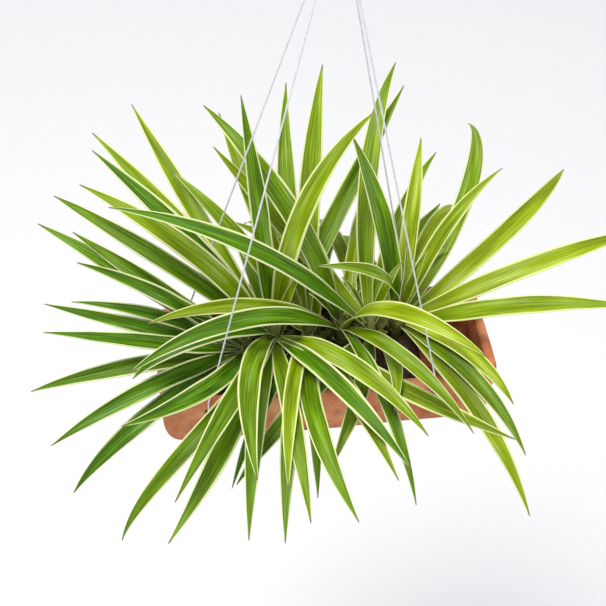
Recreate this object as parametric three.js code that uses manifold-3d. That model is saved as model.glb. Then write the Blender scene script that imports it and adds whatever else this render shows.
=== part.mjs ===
// Hanging terracotta trough planted with six variegated spider plants.
// Millimetres, +Z up, +X along the trough, front of the trough towards -Y.
// The origin is where the ceiling hook carries the weight, under the top of its crook.
import * as THREE from 'three';
import { mergeVertices } from 'three/addons/utils/BufferGeometryUtils.js';
import Module from 'manifold-3d';

const wasm = await Module();
wasm.setup();

// ---- driving dimensions -------------------------------------------------
const FIT = 0.3;                  // air between two pieces that touch

const HOOK_WIRE = 3.2;            // diameter of the hook's wire
const CROOK_R = 14;               // radius of the crook, to the wire's middle
const SLEEVE_D = 11;              // crimped sleeve that gathers the hangers
const SLEEVE_H = 16;
const SLEEVE_TOP = -50;

const RIM_Z = -566;               // top of the trough's rim
const TROUGH_L = 340;
const TROUGH_W = 130;
const TROUGH_H = 66;
const TROUGH_X = 10;              // the trough is drilled a little off its middle
const CORNER_R = 19;
const WALL = 9.5;
const FLOOR = 9;

const HANGER_D = 1.7;             // hanger wire
const HOLE_D = 6.5;               // drilled for the hangers
const HOLE_X = 114;               // from the middle, along the trough
const HOLE_BACK_SHIFT = -6;       // the back pair sits a little further left
const HOLE_DROP = 17;             // below the rim

const SOIL_DROP = 15;             // soil surface below the rim
const CORE_R = 9.5;               // leaf bases packed round a crown

// ---- mesh helpers -------------------------------------------------------
function toManifold(geometry) {
  const bare = geometry.clone();
  bare.deleteAttribute('normal');
  bare.deleteAttribute('uv');
  const merged = mergeVertices(bare, 1e-4);
  return new wasm.Manifold(new wasm.Mesh({
    numProp: 3,
    vertProperties: new Float32Array(merged.attributes.position.array),
    triVerts: new Uint32Array(merged.index.array),
  }));
}

function toGeometry(solid) {
  const mesh = solid.getMesh();
  const geometry = new THREE.BufferGeometry();
  const points = new THREE.BufferAttribute(new Float32Array(mesh.vertProperties), 3);
  geometry.setAttribute('position', points);
  geometry.setIndex(new THREE.BufferAttribute(new Uint32Array(mesh.triVerts), 1));
  const flat = geometry.toNonIndexed();
  flat.computeVertexNormals();
  return flat;
}

// Closed solid through rings that all hold the same number of points,
// each end closed by a fan from the ring's middle.
function loft(rings) {
  const n = rings[0].length;
  const middle = (ring) => ring.reduce((sum, p) => sum.add(p), new THREE.Vector3())
    .divideScalar(ring.length);
  const points = [...rings.flat(), middle(rings[0]), middle(rings[rings.length - 1])];
  const first = rings.length * n;
  const faces = [];
  for (let j = 0; j < n; j += 1) {
    const k = (j + 1) % n;
    for (let i = 0; i + 1 < rings.length; i += 1) {
      const a = i * n;
      const b = a + n;
      faces.push(a + j, a + k, b + k, a + j, b + k, b + j);
    }
    const last = (rings.length - 1) * n;
    faces.push(first, k, j, first + 1, last + j, last + k);
  }
  const geometry = new THREE.BufferGeometry();
  const flat = points.flatMap((p) => [p.x, p.y, p.z]);
  geometry.setAttribute('position', new THREE.Float32BufferAttribute(flat, 3));
  geometry.setIndex(faces);
  return geometry;
}

// Same mesh whichever way its rings run.
function loftSolid(rings) {
  const solid = toManifold(loft(rings));
  return solid.volume() > 0 ? solid : toManifold(loft([...rings].reverse()));
}

// Round bar along a path, closed at both ends.
function bar(path, diameter, steps, sides) {
  const profile = new THREE.Shape();
  for (let i = 0; i < sides; i += 1) {
    const turn = (2 * Math.PI * i) / sides;
    const x = Math.cos(turn) * diameter * 0.5;
    const y = Math.sin(turn) * diameter * 0.5;
    if (i === 0) profile.moveTo(x, y);
    else profile.lineTo(x, y);
  }
  profile.closePath();
  return new THREE.ExtrudeGeometry(profile, { steps, bevelEnabled: false, extrudePath: path });
}

// Straight round pin from one point to another.
function pin(from, to, diameter, sides = 16) {
  return bar(new THREE.LineCurve3(from, to), diameter, 1, sides);
}

const seeded = (seed) => {
  let state = seed;
  return () => {
    state = (state * 1664525 + 1013904223) % 4294967296;
    return state / 4294967296;
  };
};

const degrees = THREE.MathUtils.degToRad;
const smooth = (x, from, to) => THREE.MathUtils.smoothstep(x, from, to);

// ---- trough -------------------------------------------------------------
// Rounded rectangle whose long walls bow out slightly, as hand-built clay does.
function troughRing(length, width, corner, z, bow = 2) {
  const ring = [];
  const halfL = length / 2;
  const halfW = width / 2;
  const cornerSteps = 5;
  const sideSteps = 4;
  const endSteps = 2;
  const corners = [[1, -1, -90], [1, 1, 0], [-1, 1, 90], [-1, -1, 180]];
  corners.forEach(([sx, sy, start], index) => {
    for (let i = 0; i <= cornerSteps; i += 1) {
      const turn = degrees(start + (90 * i) / cornerSteps);
      ring.push(new THREE.Vector3(
        sx * (halfL - corner) + corner * Math.cos(turn),
        sy * (halfW - corner) + corner * Math.sin(turn), z));
    }
    const next = corners[(index + 1) % 4];
    const from = ring[ring.length - 1];
    const turn = degrees(start + 90);
    const to = new THREE.Vector3(
      next[0] * (halfL - corner) + corner * Math.cos(turn),
      next[1] * (halfW - corner) + corner * Math.sin(turn), z);
    const steps = index % 2 === 0 ? endSteps : sideSteps;
    for (let i = 1; i < steps; i += 1) {
      ring.push(from.clone().lerp(to, i / steps));
    }
  });
  return ring.map((p) => {
    const swell = bow * Math.cos((Math.PI * Math.min(Math.abs(p.x) / halfL, 1)) / 2) ** 2;
    return new THREE.Vector3(p.x + TROUGH_X, p.y + Math.sign(p.y) * swell, p.z);
  });
}

const FOOT_Z = RIM_Z - TROUGH_H;
const FLOOR_Z = FOOT_Z + FLOOR;

function innerRings(shrink = 0) {
  const l = TROUGH_L - 2 * (WALL + shrink);
  const w = TROUGH_W - 2 * (WALL + shrink);
  const r = CORNER_R - WALL * 0.6 - shrink;
  return [
    troughRing(l - 10, w - 10, r, FLOOR_Z + shrink),
    troughRing(l - 3, w - 3, r, FLOOR_Z + 6 + shrink),
    troughRing(l, w, r, RIM_Z - 5),
    troughRing(l + 3, w + 3, r + 1.5, RIM_Z - 1.5),
    troughRing(l + 9, w + 9, r + 4, RIM_Z + 1),
  ];
}

function terracottaTrough() {
  const outer = loftSolid([
    troughRing(TROUGH_L - 16, TROUGH_W - 14, CORNER_R - 6, FOOT_Z),
    troughRing(TROUGH_L - 7, TROUGH_W - 6, CORNER_R - 2, FOOT_Z + 5),
    troughRing(TROUGH_L - 3, TROUGH_W - 3, CORNER_R, FOOT_Z + 24),
    troughRing(TROUGH_L, TROUGH_W, CORNER_R, RIM_Z - 5),
    troughRing(TROUGH_L - 1.5, TROUGH_W - 1.5, CORNER_R - 1, RIM_Z - 1.5),
    troughRing(TROUGH_L - 5, TROUGH_W - 5, CORNER_R - 2, RIM_Z),
  ]);
  let trough = outer.subtract(loftSolid(innerRings()));
  // shallow keel under the middle of the base
  const keel = (grow, z) => troughRing(204 + grow, TROUGH_W - 34 + grow, 20, z, 1);
  trough = trough.add(loftSolid([
    keel(-22, FOOT_Z - 4.5), keel(0, FOOT_Z - 2), keel(10, FOOT_Z + 4),
  ]));
  // small pinched feet at the corners
  for (const sx of [-1, 1]) {
    for (const sy of [-1, 1]) {
      const at = (r, z) => Array.from({ length: 12 }, (_, i) => new THREE.Vector3(
        TROUGH_X + sx * (TROUGH_L / 2 - 21) + r * Math.cos((Math.PI * i) / 6),
        sy * (TROUGH_W / 2 - 20) + r * Math.sin((Math.PI * i) / 6), z));
      trough = trough.add(loftSolid([at(6, FOOT_Z - 4), at(9, FOOT_Z - 2.5), at(11, FOOT_Z + 4)]));
    }
  }
  for (const hole of hangerHoles()) {
    const y = hole.side * TROUGH_W * 0.5;
    trough = trough.subtract(toManifold(pin(
      new THREE.Vector3(hole.x, y * 0.55, hole.z),
      new THREE.Vector3(hole.x, y * 1.45, hole.z), HOLE_D)));
  }
  return trough;
}

function hangerHoles() {
  return [
    { name: 'front_left', x: -HOLE_X, side: -1 },
    { name: 'front_right', x: HOLE_X, side: -1 },
    { name: 'back_left', x: -HOLE_X + HOLE_BACK_SHIFT, side: 1 },
    { name: 'back_right', x: HOLE_X + HOLE_BACK_SHIFT, side: 1 },
  ].map((hole) => ({ ...hole, z: RIM_Z - HOLE_DROP }));
}

// ---- hook, sleeve and hangers -------------------------------------------
function ceilingHook() {
  const middle = new THREE.Vector3(0, 0, -(CROOK_R - HOOK_WIRE / 2));
  const path = new THREE.CurvePath();
  const onCrook = (angle) => new THREE.Vector3(
    middle.x + CROOK_R * Math.cos(degrees(angle)), 0,
    middle.z + CROOK_R * Math.sin(degrees(angle)));
  const points = [new THREE.Vector3(0, 0, SLEEVE_TOP - 8), new THREE.Vector3(0, 0, -38),
    new THREE.Vector3(-1, 0, -32)];
  for (let angle = 232; angle >= -35; angle -= 22.25) points.push(onCrook(angle));
  path.add(new THREE.CatmullRomCurve3(points, false, 'centripetal'));
  return toManifold(bar(path.curves[0], HOOK_WIRE, 34, 10));
}

// Each hanger runs straight from the sleeve to the rim, bends down the outside
// of the wall, passes in through its hole and ends in a short turned-down tail.
function hangerPath(hole, index) {
  const turn = degrees([225, 315, 135, 45][index]);
  const top = new THREE.Vector3(2.6 * Math.cos(turn), 2.6 * Math.sin(turn), SLEEVE_TOP - 9);
  const bow = 2 * Math.cos((Math.PI * Math.abs(hole.x - TROUGH_X)) / TROUGH_L) ** 2;
  const face = TROUGH_W / 2 + bow;
  const clear = FIT + HANGER_D / 2;
  const at = (y, z) => new THREE.Vector3(hole.x, hole.side * y, z);
  const legs = [
    top,
    at(face + clear, RIM_Z - 3),
    at(face + clear + 0.3, hole.z + 3.4),
    at(face - 1.5, hole.z + 0.6),
    at(face - WALL - 0.5, hole.z - 0.4),
    at(face - WALL - 3.2, hole.z - 2.6),
    at(face - WALL - 3.4, hole.z - 6),
  ];
  const path = new THREE.CurvePath();
  for (let i = 0; i + 1 < legs.length; i += 1) {
    path.add(new THREE.LineCurve3(legs[i], legs[i + 1]));
  }
  return { path, legs };
}

// Round wire through a chain of points, mitred at each bend.
function wire(points, diameter, sides = 8) {
  const rings = points.map((point, i) => {
    const before = points[Math.max(i - 1, 0)];
    const after = points[Math.min(i + 1, points.length - 1)];
    const into = point.clone().sub(before).normalize();
    const out = after.clone().sub(point).normalize();
    const along = into.clone().add(out).normalize();
    const across = new THREE.Vector3(1, 0, 0).addScaledVector(along, -along.x).normalize();
    const upward = new THREE.Vector3().crossVectors(along, across);
    return Array.from({ length: sides }, (_, j) => {
      const turn = (2 * Math.PI * (j + 0.5)) / sides;
      return point.clone()
        .addScaledVector(across, (diameter / 2) * Math.cos(turn))
        .addScaledVector(upward, (diameter / 2) * Math.sin(turn));
    });
  });
  return loftSolid(rings);
}

function crimpSleeve(hook, hangers) {
  const rings = [[0.42, 0], [0.5, -1.5], [0.5, -SLEEVE_H + 1.5], [0.42, -SLEEVE_H]];
  let sleeve = loftSolid(rings.map(([r, dz]) => Array.from({ length: 20 }, (_, i) => {
    const turn = (2 * Math.PI * i) / 20;
    return new THREE.Vector3(r * SLEEVE_D * Math.cos(turn), r * SLEEVE_D * Math.sin(turn),
      SLEEVE_TOP + dz);
  })));
  const bore = HOOK_WIRE + 2 * FIT;
  sleeve = sleeve.subtract(toManifold(pin(new THREE.Vector3(0, 0, SLEEVE_TOP + 2),
    new THREE.Vector3(0, 0, SLEEVE_TOP - 8 - FIT), bore)));
  for (const hanger of hangers) {
    const [from, to] = hanger.legs;
    const along = to.clone().sub(from).normalize();
    sleeve = sleeve.subtract(toManifold(pin(from.clone().addScaledVector(along, -FIT),
      from.clone().addScaledVector(along, 20), HANGER_D + 2 * FIT, 10)));
  }
  return sleeve;
}

// ---- plants -------------------------------------------------------------
const CROWN_Z = RIM_Z + 4;
const LEAF_FOOT_R = 5;            // leaves leave the crown this far from its middle
const LEAF_STATIONS = [0, 0.12, 0.28, 0.46, 0.65, 0.84, 1];
const EDGE_T = 0.7;               // blade thickness at its edges
const RIB_T = 1.1;                // and along the channelled middle
const CHANNEL = 0.16;             // depth of the channel as a share of the width
const BEND = 1.3;                 // how late along the leaf it arches over
const ROLL = 33;                  // degrees that a sideways leaf rolls towards the light in front

// Share of the full width along a leaf: clasping base, strap, long fine point.
function strapWidth(s) {
  const rise = 0.5 + 0.5 * smooth(s, 0, 0.34);
  const point = 1 - 0.94 * Math.max(0, (s - 0.55) / 0.45) ** 1.6;
  return rise * point;
}

// A leaf's measures, in degrees and millimetres: heading about +Z from +X, rise above level
// at its foot, length, droop along it, sweep of its heading along it, width, and height of
// its foot above the crown.
const MEASURES = ['heading', 'rise', 'length', 'droop', 'sweep', 'width', 'foot'];

function leafFrames(crown, leaf, stations) {
  const [heading, rise, length, droop, sweep, , foot] = leaf;
  const steps = 40;
  const h0 = degrees(heading);
  const start = new THREE.Vector3(crown.x + LEAF_FOOT_R * Math.cos(h0),
    crown.y + LEAF_FOOT_R * Math.sin(h0), CROWN_Z + foot);
  const tangentAt = (s) => {
    const up = degrees(rise - droop * s ** BEND);
    const round = degrees(heading + sweep * s);
    return new THREE.Vector3(Math.cos(up) * Math.cos(round), Math.cos(up) * Math.sin(round),
      Math.sin(up));
  };
  const points = [start];
  for (let i = 0; i < steps; i += 1) {
    const step = tangentAt((i + 0.5) / steps).multiplyScalar(length / steps);
    points.push(points[i].clone().add(step));
  }
  return stations.map((s) => {
    const at = s * steps;
    const i = Math.min(Math.floor(at), steps - 1);
    const round = degrees(heading + sweep * s);
    const along = tangentAt(s);
    const roll = degrees(ROLL) * Math.cos(round) * smooth(s, 0, 0.3);
    const side = new THREE.Vector3(Math.sin(round), -Math.cos(round), 0)
      .applyAxisAngle(along, roll);
    return {
      s,
      point: points[i].clone().lerp(points[i + 1], at - i),
      along,
      side,
      face: new THREE.Vector3().crossVectors(side, along),
    };
  });
}

// The blade between some of its stations, grown on all sides where air is kept round it.
function leafBlade(crown, leaf, stations = LEAF_STATIONS, air = 0) {
  const width = leaf[5];
  const rings = leafFrames(crown, leaf, stations).map(({ s, point, side, face, along }) => {
    const half = Math.max(0.5 * width * strapWidth(s), 0.55) + air;
    const dip = 2 * (half - air) * CHANNEL;
    const back = s === 0 ? -2 : 0;
    const at = (across, up) => point.clone()
      .addScaledVector(along, back)
      .addScaledVector(side, across)
      .addScaledVector(face, up);
    return [
      at(-half, dip + air), at(0, RIB_T / 2 + air), at(half, dip + air),
      at(half, dip - EDGE_T - air), at(0, -RIB_T / 2 - air), at(-half, dip - EDGE_T - air),
    ];
  });
  return bladeSolid(rings);
}

// Rings of six run left edge, middle, right edge over the top and back underneath.
// The diagonals run the same way on both faces of the blade.
function bladeSolid(rings) {
  const faces = [];
  const quad = (a, b, c, d, flip) => {
    if (flip) faces.push(a, b, d, b, c, d);
    else faces.push(a, b, c, a, c, d);
  };
  for (let i = 0; i + 1 < rings.length; i += 1) {
    const a = 6 * i;
    const b = a + 6;
    for (let j = 0; j < 6; j += 1) {
      const k = (j + 1) % 6;
      quad(a + j, a + k, b + k, b + j, j >= 2);
    }
  }
  const last = 6 * (rings.length - 1);
  faces.push(0, 5, 1, 5, 4, 1, 1, 4, 2, 4, 3, 2);
  faces.push(last, last + 1, last + 5, last + 5, last + 1, last + 4);
  faces.push(last + 1, last + 2, last + 4, last + 4, last + 2, last + 3);
  const geometry = new THREE.BufferGeometry();
  const flat = rings.flat().flatMap((p) => [p.x, p.y, p.z]);
  geometry.setAttribute('position', new THREE.Float32BufferAttribute(flat, 3));
  geometry.setIndex(faces);
  const solid = toManifold(geometry);
  if (solid.volume() > 0) return solid;
  for (let i = 0; i < faces.length; i += 3) [faces[i + 1], faces[i + 2]] = [faces[i + 2], faces[i + 1]];
  geometry.setIndex(faces);
  return toManifold(geometry);
}

function crownCore(crown, grow = 0) {
  const rings = [[CORE_R * 0.85, -44], [CORE_R, -20], [CORE_R, -4], [CORE_R * 0.8, 10],
    [CORE_R * 0.55, 24]];
  return loftSolid(rings.map(([r, dz]) => Array.from({ length: 12 }, (_, i) => {
    const turn = (2 * Math.PI * i) / 12;
    return new THREE.Vector3(crown.x + (r + grow) * Math.cos(turn),
      crown.y + (r + grow) * Math.sin(turn), CROWN_Z + dz + (dz < -40 ? -grow : grow));
  })));
}

// Six plants in a row, left to right. A fan spreads its leaves evenly from one bounding leaf
// to the other: a measure is one value for all of them, or the first and last leaf's.
const PLANTS = [
  {
    name: 'spider_plant_1',
    crown: { x: -68, y: -1 },
    seed: 11,
    fans: [
      { leaves: 4, heading: [164, 180], rise: [42, 50], length: [240, 190], droop: [5, 40],
        sweep: -5, width: [19, 14], foot: -4 },
      { leaves: 5, heading: [-138, -168], rise: [18, 34], length: [240, 205], droop: [70, 15],
        sweep: -20, width: [19, 15], foot: -8 },
      { leaves: 2, heading: [-94, -104], rise: [16, 30], length: 255, droop: [50, 20],
        sweep: -40, width: [22, 19], foot: 0 },
    ],
  },
  {
    name: 'spider_plant_2',
    crown: { x: -40, y: 6 },
    seed: 22,
    fans: [
      { leaves: 4, heading: [174, 138], rise: [64, 46], length: [265, 280], droop: [65, 40],
        sweep: -30, width: [21, 18], foot: 4 },
      { leaves: 2, heading: [110, 62], rise: [76, 84], length: 265, droop: [20, 50],
        sweep: [0, -40], width: [18, 21], foot: 4 },
      { leaves: 1, heading: 54, rise: 34, length: 305, droop: 25, sweep: 0, width: 20, foot: -8 },
      { leaves: 4, heading: [-60, -104], rise: [42, 24], length: [225, 255], droop: [75, 50],
        sweep: 10, width: [20, 18], foot: 2 },
      { leaves: 3, heading: [-112, -122], rise: 26, length: [290, 235], droop: [85, 50],
        sweep: [-60, 20], width: [17, 22], foot: -4 },
      { leaves: 2, heading: [-166, -147], rise: 56, length: [285, 180], droop: [55, 100],
        sweep: -25, width: 19, foot: 6 },
    ],
  },
  {
    name: 'spider_plant_3',
    crown: { x: -5, y: 7 },
    seed: 33,
    fans: [
      { leaves: 4, heading: [150, 87], rise: [60, 46], length: [220, 270], droop: [55, 0],
        sweep: -20, width: [17, 22], foot: 0 },
      { leaves: 3, heading: [-60, -93], rise: [16, 30], length: [245, 200], droop: [20, 75],
        sweep: [28, 0], width: [18, 15], foot: 0 },
      { leaves: 4, heading: [-99, -117], rise: [8, 28], length: [270, 200], droop: [20, 60],
        sweep: 18, width: [20, 13], foot: 2 },
    ],
  },
  {
    name: 'spider_plant_4',
    crown: { x: 30, y: 10 },
    seed: 44,
    fans: [
      { leaves: 1, heading: 151, rise: 82, length: 285, droop: 80, sweep: -35, width: 22, foot: -4 },
      { leaves: 1, heading: 46, rise: 12, length: 200, droop: 20, sweep: 10, width: 22, foot: 8 },
      { leaves: 3, heading: [-64, -78], rise: [68, 24], length: [225, 225], droop: [88, 75],
        sweep: [30, 0], width: [19, 14], foot: 4 },
      { leaves: 2, heading: [-166, -152], rise: 48, length: [220, 265], droop: 82,
        sweep: -15, width: [16, 19], foot: 0 },
    ],
  },
  {
    name: 'spider_plant_5',
    crown: { x: 59, y: 10 },
    seed: 55,
    fans: [
      { leaves: 3, heading: [184, 136], rise: [52, 40], length: [320, 170], droop: [45, 20],
        sweep: [-5, 10], width: 19, foot: 0 },
      { leaves: 3, heading: [88, 42], rise: [46, 42], length: [290, 110], droop: [40, 30],
        sweep: -25, width: [20, 12], foot: 2 },
      { leaves: 3, heading: [-75, -132], rise: [38, 18], length: [140, 220], droop: [50, 60],
        sweep: -25, width: [16, 20], foot: -8 },
    ],
  },
  {
    name: 'spider_plant_6',
    crown: { x: 89, y: 16 },
    seed: 66,
    fans: [
      { leaves: 3, heading: [116, 34], rise: [82, 68], length: [205, 190], droop: 55,
        sweep: -5, width: [20, 15], foot: 0 },
      { leaves: 4, heading: [36, -29], rise: [36, 38], length: [315, 250], droop: [70, 15],
        sweep: [55, 5], width: [19, 20], foot: -4 },
      { leaves: 3, heading: [-54, -66], rise: [32, 8], length: [160, 245], droop: [90, 60],
        sweep: 0, width: [16, 19], foot: -2 },
      { leaves: 1, heading: -129, rise: 84, length: 175, droop: 85, sweep: -55, width: 15, foot: 8 },
    ],
  },
];

// Every plant also sends leaves down behind the trough and has two young ones in its middle.
const SHARED_FANS = [
  { leaves: 2, heading: [74, 106], rise: 34, length: 205, droop: 90, sweep: 0, width: 16, foot: -2 },
  { leaves: 2, heading: [20, 200], rise: 77, length: 78, droop: 22, sweep: 0, width: 9, foot: 14 },
];

// How far a leaf may stray from its place in the fan, in the order of MEASURES.
const STRAY = [14, 16, 12, 26, 24, 1, 10];
const FIRST_STRAY = 0.3;          // share of that for the first attempt
const STRAY_STEP = 0.02;          // and what every further attempt adds
const ATTEMPTS = 120;
const NEXT_DRAW = 977;            // added to a leaf's seed for every further attempt
const PLANT_SEEDS = 1000;         // seeds that each plant has for its leaves
const OUTER_STATION = 2;          // from this station on, a leaf should clear its own plant's
const POLITE_ATTEMPTS = 60;       // until here a leaf also keeps clear of its own plant's
const LEAF_AIR = 0.35;            // kept round every leaf

function wantedLeaves(plant) {
  const spread = (range, t) => (Array.isArray(range) ? THREE.MathUtils.lerp(...range, t) : range);
  return [...plant.fans, ...SHARED_FANS].flatMap((fan) => (
    Array.from({ length: fan.leaves }, (_, i) => {
      const t = fan.leaves > 1 ? i / (fan.leaves - 1) : 0;
      return MEASURES.map((measure) => spread(fan[measure], t));
    })));
}

function strayedLeaf(leaf, seed, attempt) {
  const random = seeded(seed + NEXT_DRAW * attempt);
  const reach = FIRST_STRAY + STRAY_STEP * attempt;
  return leaf.map((value, i) => value + STRAY[i] * reach * (2 * random() - 1));
}

function meets(a, b) {
  const shared = a.intersect(b);
  const crossing = shared.volume() > 0;
  shared.delete();
  return crossing;
}

// Leaves are grown in turns, one on every plant. Each is bent, by draws that stray further
// and further, until it clears the other plants and what is fixed. One that finds no room
// in all its attempts is left out.
function growPlants(fixed) {
  const plants = PLANTS.map((plant) => ({
    ...plant,
    wanted: wantedLeaves(plant),
    solid: crownCore(plant.crown),
  }));
  const turns = Math.max(...plants.map((plant) => plant.wanted.length));
  for (let turn = 0; turn < turns; turn += 1) {
    for (const plant of plants) {
      if (turn < plant.wanted.length) growLeaf(plant, turn, plants, fixed);
    }
  }
  return plants.map((plant) => ({ name: plant.name, solid: withoutPockets(plant.solid) }));
}

function growLeaf(plant, turn, plants, fixed) {
  const others = [fixed, ...plants.filter((other) => other !== plant).map((other) => other.solid)];
  for (let attempt = 0; attempt < ATTEMPTS; attempt += 1) {
    const leaf = strayedLeaf(plant.wanted[turn], PLANT_SEEDS * plant.seed + turn, attempt);
    const whole = leafBlade(plant.crown, leaf, LEAF_STATIONS, LEAF_AIR);
    const outer = leafBlade(plant.crown, leaf, LEAF_STATIONS.slice(OUTER_STATION), LEAF_AIR);
    const blocked = others.some((other) => meets(whole, other))
      || (attempt < POLITE_ATTEMPTS && meets(outer, plant.solid));
    whole.delete();
    outer.delete();
    if (!blocked) {
      plant.solid = plant.solid.add(leafBlade(plant.crown, leaf));
      return;
    }
  }
}

// Crossing leaves can shut in a pocket of air: only the outer skin is kept.
function withoutPockets(solid) {
  return solid.decompose().filter((piece) => piece.volume() > 0).reduce((a, b) => a.add(b));
}

// ---- soil ---------------------------------------------------------------
// Root ball heaped along the middle of the trough, its ends falling to the floor.
function pottingSoil() {
  const random = seeded(41);
  const columns = 18;
  const rows = 7;
  const from = -112;
  const to = 118;
  const halfW = TROUGH_W / 2;
  const top = [];
  for (let i = 0; i <= columns; i += 1) {
    const x = from + ((to - from) * i) / columns;
    for (let j = 0; j <= rows; j += 1) {
      const y = -halfW + (2 * halfW * j) / rows;
      const along = Math.abs((x - (from + to) / 2) / ((to - from) / 2));
      const across = Math.abs(y) / halfW;
      const fall = smooth(along + 0.12 * across ** 2, 0.8, 1.04);
      const lump = 1.6 * (random() - 0.5);
      const z = THREE.MathUtils.lerp(RIM_Z - SOIL_DROP + lump, FLOOR_Z + 1.2, fall);
      top.push(new THREE.Vector3(x, y, z));
    }
  }
  const n = rows + 1;
  const under = top.map((p) => new THREE.Vector3(p.x, p.y, FLOOR_Z - 3));
  const faces = [];
  const m = top.length;
  for (let i = 0; i < columns; i += 1) {
    for (let j = 0; j < rows; j += 1) {
      const a = i * n + j;
      faces.push(a, a + n, a + 1, a + 1, a + n, a + n + 1);
      faces.push(m + a, m + a + 1, m + a + n, m + a + 1, m + a + n + 1, m + a + n);
    }
  }
  const wall = (a, b) => faces.push(a, b, m + b, a, m + b, m + a);
  for (let i = 0; i < columns; i += 1) {
    wall((i + 1) * n, i * n);
    wall(i * n + rows, (i + 1) * n + rows);
  }
  for (let j = 0; j < rows; j += 1) {
    wall(j, j + 1);
    wall(columns * n + j + 1, columns * n + j);
  }
  const geometry = new THREE.BufferGeometry();
  const flat = [...top, ...under].flatMap((p) => [p.x, p.y, p.z]);
  geometry.setAttribute('position', new THREE.Float32BufferAttribute(flat, 3));
  geometry.setIndex(faces);
  let solid = toManifold(geometry);
  if (solid.volume() < 0) throw new Error('soil faces inwards');
  solid = solid.intersect(loftSolid(innerRings(FIT)));
  for (const plant of PLANTS) solid = solid.subtract(crownCore(plant.crown, FIT));
  return solid;
}

// ---- assembly -----------------------------------------------------------
const CLAY = new THREE.MeshStandardMaterial({ color: '#b5693f', roughness: 0.9 });
const EARTH = new THREE.MeshStandardMaterial({ color: '#2e2218', roughness: 1 });
const LEAF = new THREE.MeshStandardMaterial({ color: '#6f9a2b', roughness: 0.5 });
const STEEL = new THREE.MeshStandardMaterial({ color: '#c9c9cf', roughness: 0.4, metalness: 0.8 });

const group = new THREE.Group();
group.name = 'potted_spider_plant';

function addPart(name, solid, material) {
  const mesh = new THREE.Mesh(toGeometry(solid), material);
  mesh.name = name;
  group.add(mesh);
}

const holes = hangerHoles();
const hangers = holes.map(hangerPath);
const hook = ceilingHook();
const trough = terracottaTrough();
const soil = pottingSoil();
const wires = hangers.map((hanger) => wire(hanger.legs, HANGER_D));
const fixed = wires.reduce((all, one) => all.add(one), trough.add(soil));

addPart('terracotta_trough', trough, CLAY);
addPart('potting_soil', soil, EARTH);
for (const plant of growPlants(fixed)) addPart(plant.name, plant.solid, LEAF);
addPart('ceiling_hook', hook, STEEL);
addPart('crimp_sleeve', crimpSleeve(hook, hangers), STEEL);
wires.forEach((solid, i) => addPart(`hanger_wire_${holes[i].name}`, solid, STEEL));

export default group;
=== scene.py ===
"""Looks of a hanging terracotta trough planted with six variegated spider plants.

Metres, +Z up, the trough's front towards -Y. The origin is where the ceiling hook
carries the weight, on the underside of the top of its crook.
"""

import math
import random
from collections import namedtuple

import bmesh
import bpy
from mathutils import Matrix, Vector, kdtree, noise


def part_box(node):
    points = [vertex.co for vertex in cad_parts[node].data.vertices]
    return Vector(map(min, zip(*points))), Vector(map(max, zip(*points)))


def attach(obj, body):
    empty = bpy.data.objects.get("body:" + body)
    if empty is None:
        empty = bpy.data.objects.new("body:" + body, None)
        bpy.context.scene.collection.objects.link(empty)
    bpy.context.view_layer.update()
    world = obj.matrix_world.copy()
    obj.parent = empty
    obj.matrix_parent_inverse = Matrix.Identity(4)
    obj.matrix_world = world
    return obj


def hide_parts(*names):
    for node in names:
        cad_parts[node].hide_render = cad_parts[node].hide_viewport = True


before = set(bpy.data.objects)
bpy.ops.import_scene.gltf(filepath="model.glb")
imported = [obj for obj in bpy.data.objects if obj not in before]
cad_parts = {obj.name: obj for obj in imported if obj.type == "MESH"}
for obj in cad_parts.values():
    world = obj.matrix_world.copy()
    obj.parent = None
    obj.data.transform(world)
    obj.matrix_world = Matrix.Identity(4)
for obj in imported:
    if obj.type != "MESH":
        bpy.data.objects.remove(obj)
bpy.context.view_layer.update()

MM = 0.001

# ---- places taken from the frame, and sizes that its boxes don't give ------
trough_low, trough_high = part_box("terracotta_trough")
RIM_Z = trough_high.z
TROUGH_L = trough_high.x - trough_low.x
TROUGH_X = (trough_high.x + trough_low.x) / 2
TROUGH_W = 130 * MM               # at its ends; the long walls bow out from there
BOW = 2 * MM
TROUGH_H = 66 * MM
WALL = 9.5 * MM
FLOOR = 9 * MM
CORNER_R = 19 * MM
FOOT_Z = RIM_Z - TROUGH_H
FLOOR_Z = FOOT_Z + FLOOR

sleeve_low, sleeve_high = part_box("crimp_sleeve")
SLEEVE_D = 11 * MM
HOOK_WIRE = 3.2 * MM
CROOK_R = 14 * MM
HANGER_D = 1.7 * MM
HOLE_D = 6.5 * MM
HOLE_X = 114 * MM
HOLE_BACK_SHIFT = -6 * MM
HOLE_Z = RIM_Z - 17 * MM
GAP = 0.3 * MM                    # air between pieces that all but touch


# ---- camera and cords -----------------------------------------------------
def add_camera():
    """Looks down on the trough from the front, a little from its left."""
    azimuth = math.radians(-10.4)
    elevation = math.radians(47)
    roll = math.radians(3)
    distance = 1.6
    look_at = Vector((-0.013, 0, RIM_Z + 0.059))
    image_px = 606
    focal_px = 1622
    back = Vector((math.sin(azimuth) * math.cos(elevation),
                   -math.cos(azimuth) * math.cos(elevation), math.sin(elevation)))
    level = Vector((math.cos(azimuth), math.sin(azimuth), 0))
    upward = back.cross(level)
    right = level * math.cos(roll) + upward * math.sin(roll)
    up = upward * math.cos(roll) - level * math.sin(roll)
    data = bpy.data.cameras.new("camera")
    data.sensor_width = 36
    data.lens = data.sensor_width * focal_px / image_px
    data.clip_end = 50
    camera = bpy.data.objects.new("camera", data)
    turn = Matrix((right, up, back)).transposed().to_4x4()
    camera.matrix_world = Matrix.Translation(look_at + back * distance) @ turn
    bpy.context.scene.collection.objects.link(camera)
    bpy.context.scene.camera = camera


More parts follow.
